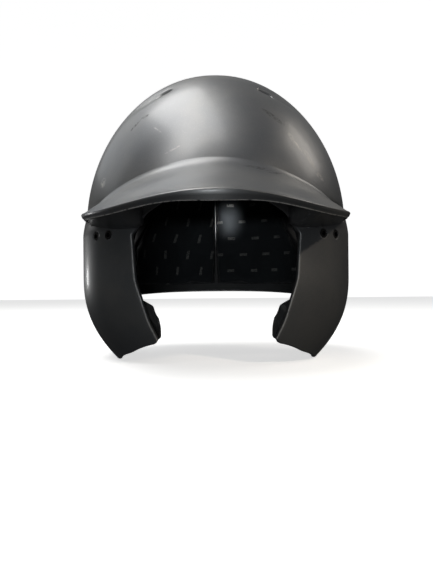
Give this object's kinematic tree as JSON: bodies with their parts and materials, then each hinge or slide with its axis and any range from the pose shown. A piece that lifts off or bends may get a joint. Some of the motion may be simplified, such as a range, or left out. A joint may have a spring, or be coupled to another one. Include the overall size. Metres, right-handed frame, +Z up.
{
  "type": "batting helmet",
  "caption": "Hard-shell batting helmet with a short bill, ear flaps on both sides, slotted vents, ear holes and a padded foam liner.",
  "frame": {"origin": "under the middle of the helmet's overall box, on the plane that the ear flaps stand on", "axes": "+Z up, the bill points along -Y, +X is the wearer's left"},
  "size_m": [0.207, 0.2966, 0.219],
  "materials": {
    "shell_graphite": "satin graphite plastic with a fine sparkle",
    "impact_foam": "closed-cell foam",
    "pad_cloth": "smooth black cloth over foam, with small grey woven marks",
    "hook_and_loop": "black hook-and-loop tape",
    "insert_steel": "plain plated steel"
  },
  "bodies": {
    "root": {"outer_shell": "shell_graphite", "brow_foam": "impact_foam", "brow_pad": "pad_cloth", "crown_foam": "impact_foam", "crown_pad": "pad_cloth", "crown_pad_fastener": "hook_and_loop", "left_ear_foam": "impact_foam", "left_jaw_pad": "pad_cloth", "left_jaw_pad_fastener": "hook_and_loop", "left_rear_foam": "impact_foam", "left_rear_pad": "pad_cloth", "left_side_foam": "impact_foam", "left_side_pad": "pad_cloth", "left_temple_foam": "impact_foam", "left_temple_pad": "pad_cloth", "left_front_face_guard_insert": "insert_steel", "left_rear_face_guard_insert": "insert_steel", "right_ear_foam": "impact_foam", "right_jaw_pad": "pad_cloth", "right_jaw_pad_fastener": "hook_and_loop", "right_rear_foam": "impact_foam", "right_rear_pad": "pad_cloth", "right_side_foam": "impact_foam", "right_side_pad": "pad_cloth", "right_temple_foam": "impact_foam", "right_temple_pad": "pad_cloth", "right_front_face_guard_insert": "insert_steel", "right_rear_face_guard_insert": "insert_steel"}
  },
  "joints": []
}
